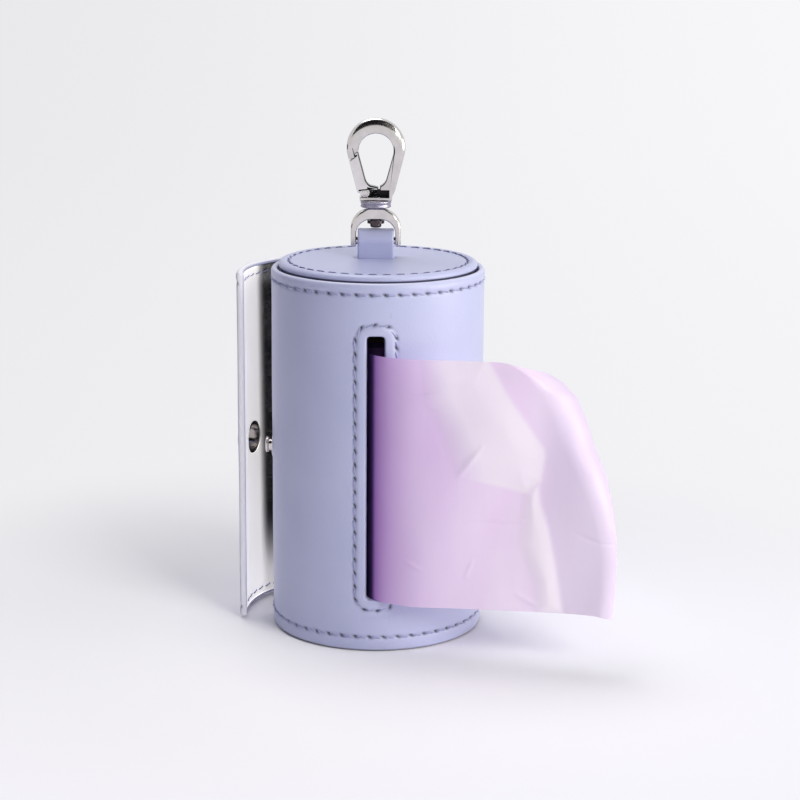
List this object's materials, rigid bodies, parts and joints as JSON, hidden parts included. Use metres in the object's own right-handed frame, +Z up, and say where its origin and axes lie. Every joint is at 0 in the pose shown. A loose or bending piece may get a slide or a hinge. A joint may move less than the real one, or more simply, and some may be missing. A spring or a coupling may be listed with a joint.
{
  "type": "dog waste bag dispenser",
  "caption": "Leather-covered cylinder that holds a roll of waste bags, with a dispensing slot, a snap-closed side flap and a swivel trigger hook.",
  "frame": {"origin": "centre of the base, on the surface that it stands on", "axes": "+Z up along the cylinder; -Y is the front with the slot; the flap opens on the -X side"},
  "size_m": [0.0923, 0.0664, 0.1256],
  "materials": {
    "leather": "smooth lavender leather, fine grain, satin",
    "board": "pressed greyboard",
    "lining": "off-white smooth lining",
    "nickel": "polished nickel plate",
    "spring_steel": "drawn spring wire",
    "card": "wound card tube",
    "film": "thin lilac bag film, slightly glossy"
  },
  "bodies": {
    "case": {"wall_leather": "leather", "wall_board": "board", "wall_lining": "lining", "slot_lip": "leather", "lid_cover": "leather", "lid_board": "board", "lid_lining": "lining", "base_cover": "leather", "base_board": "board", "base_lining": "lining", "strap_loop": "leather", "hinge_fold": "leather", "snap_stud": "nickel", "snap_post": "nickel", "bag_tail": "film"},
    "flap": {"flap_leather": "leather", "flap_board": "board", "flap_lining": "lining", "snap_socket": "nickel", "snap_cap": "nickel"},
    "eye": {"swivel_eye": "nickel"},
    "hook": {"hook_body": "nickel", "gate_pin": "nickel", "gate_spring": "spring_steel", "swivel_rivet": "nickel", "swivel_washer": "nickel"},
    "gate": {"hook_gate": "nickel"},
    "roll": {"roll_core": "card", "bag_roll": "film"}
  },
  "joints": [
    {"name": "flap_hinge", "type": "hinge", "parent": "case", "child": "flap", "pos_m": [0.00222, 0.0254, 0.0446], "axis": [0, 0, -1], "range_deg": [-15, 93]},
    {"name": "eye_swing", "type": "hinge", "parent": "case", "child": "eye", "pos_m": [-0.00065, 0.0042, 0.09555], "axis": [1, 0, 0], "range_deg": [-78, 78]},
    {"name": "hook_swivel", "type": "hinge", "parent": "eye", "child": "hook", "pos_m": [-0.00065, 0.0042, 0.102], "axis": [0, 0, 1], "continuous": true},
    {"name": "gate_hinge", "type": "hinge", "parent": "hook", "child": "gate", "pos_m": [-0.0033, 0.0042, 0.1075], "axis": [0, 1, 0], "range_deg": [0, 19], "stiffness_Nm_per_rad": 0.05, "springref_deg": -17.19, "deforming": ["gate_spring"]},
    {"name": "roll_spin", "type": "hinge", "parent": "case", "child": "roll", "pos_m": [0, 0, 0.0409], "axis": [0, 0, 1], "continuous": true}
  ]
}
